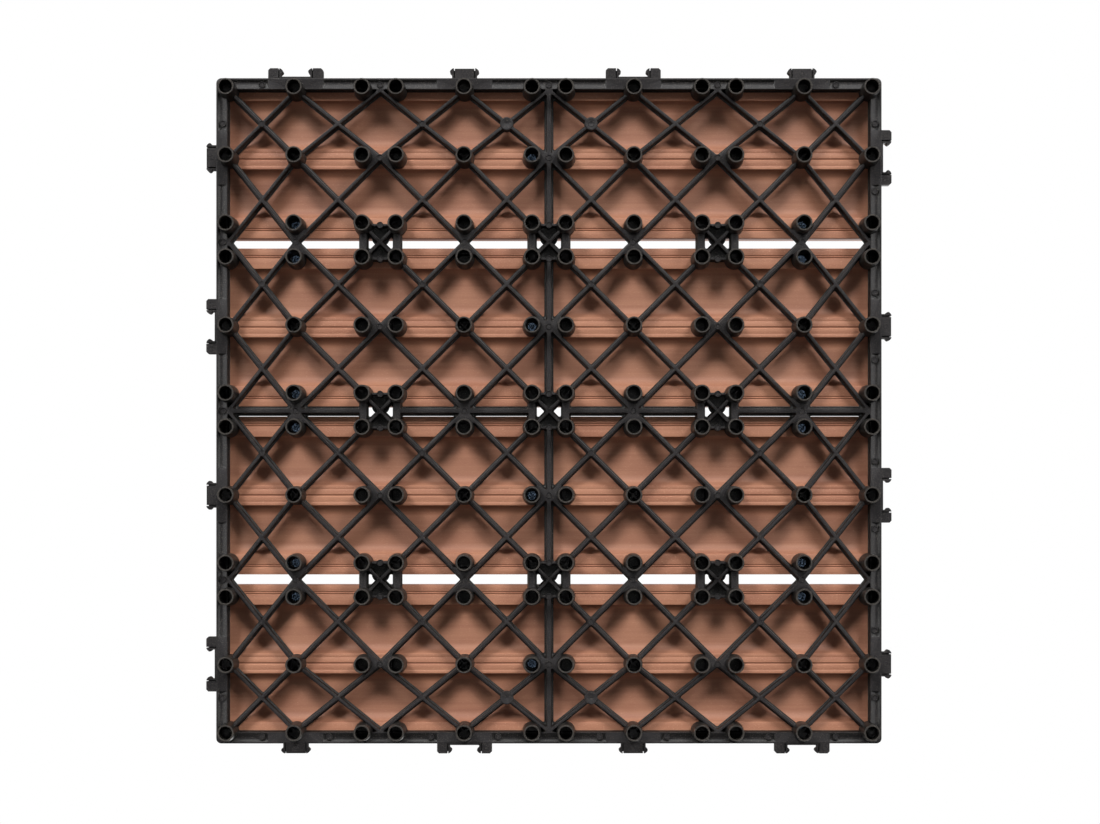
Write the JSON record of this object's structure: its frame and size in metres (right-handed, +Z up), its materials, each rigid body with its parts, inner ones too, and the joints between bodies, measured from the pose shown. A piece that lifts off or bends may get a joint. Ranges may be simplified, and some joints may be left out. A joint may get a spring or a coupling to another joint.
{
  "type": "interlocking deck tile",
  "caption": "Square deck tile: wood-plastic boards on a moulded lattice base with tubular feet and snap clips along every side.",
  "frame": {"origin": "middle of the tile on the plane of the foot ends, which is the ground", "axes": "+Z up from the feet to the walking face; X along the boards; Y across the boards, with the low Y side at the top of the picture, which looks up along +Z"},
  "size_m": [0.6086, 0.6086, 0.045],
  "materials": {
    "base_plastic": "satin black polypropylene",
    "board_composite": "matte extruded wood-plastic composite",
    "screw_steel": "blue-black coated steel"
  },
  "bodies": {
    "root": {"base_grid": "base_plastic", "board_1": "board_composite", "board_2": "board_composite", "board_3": "board_composite", "board_4": "board_composite", "deck_screws": "screw_steel"}
  },
  "joints": []
}
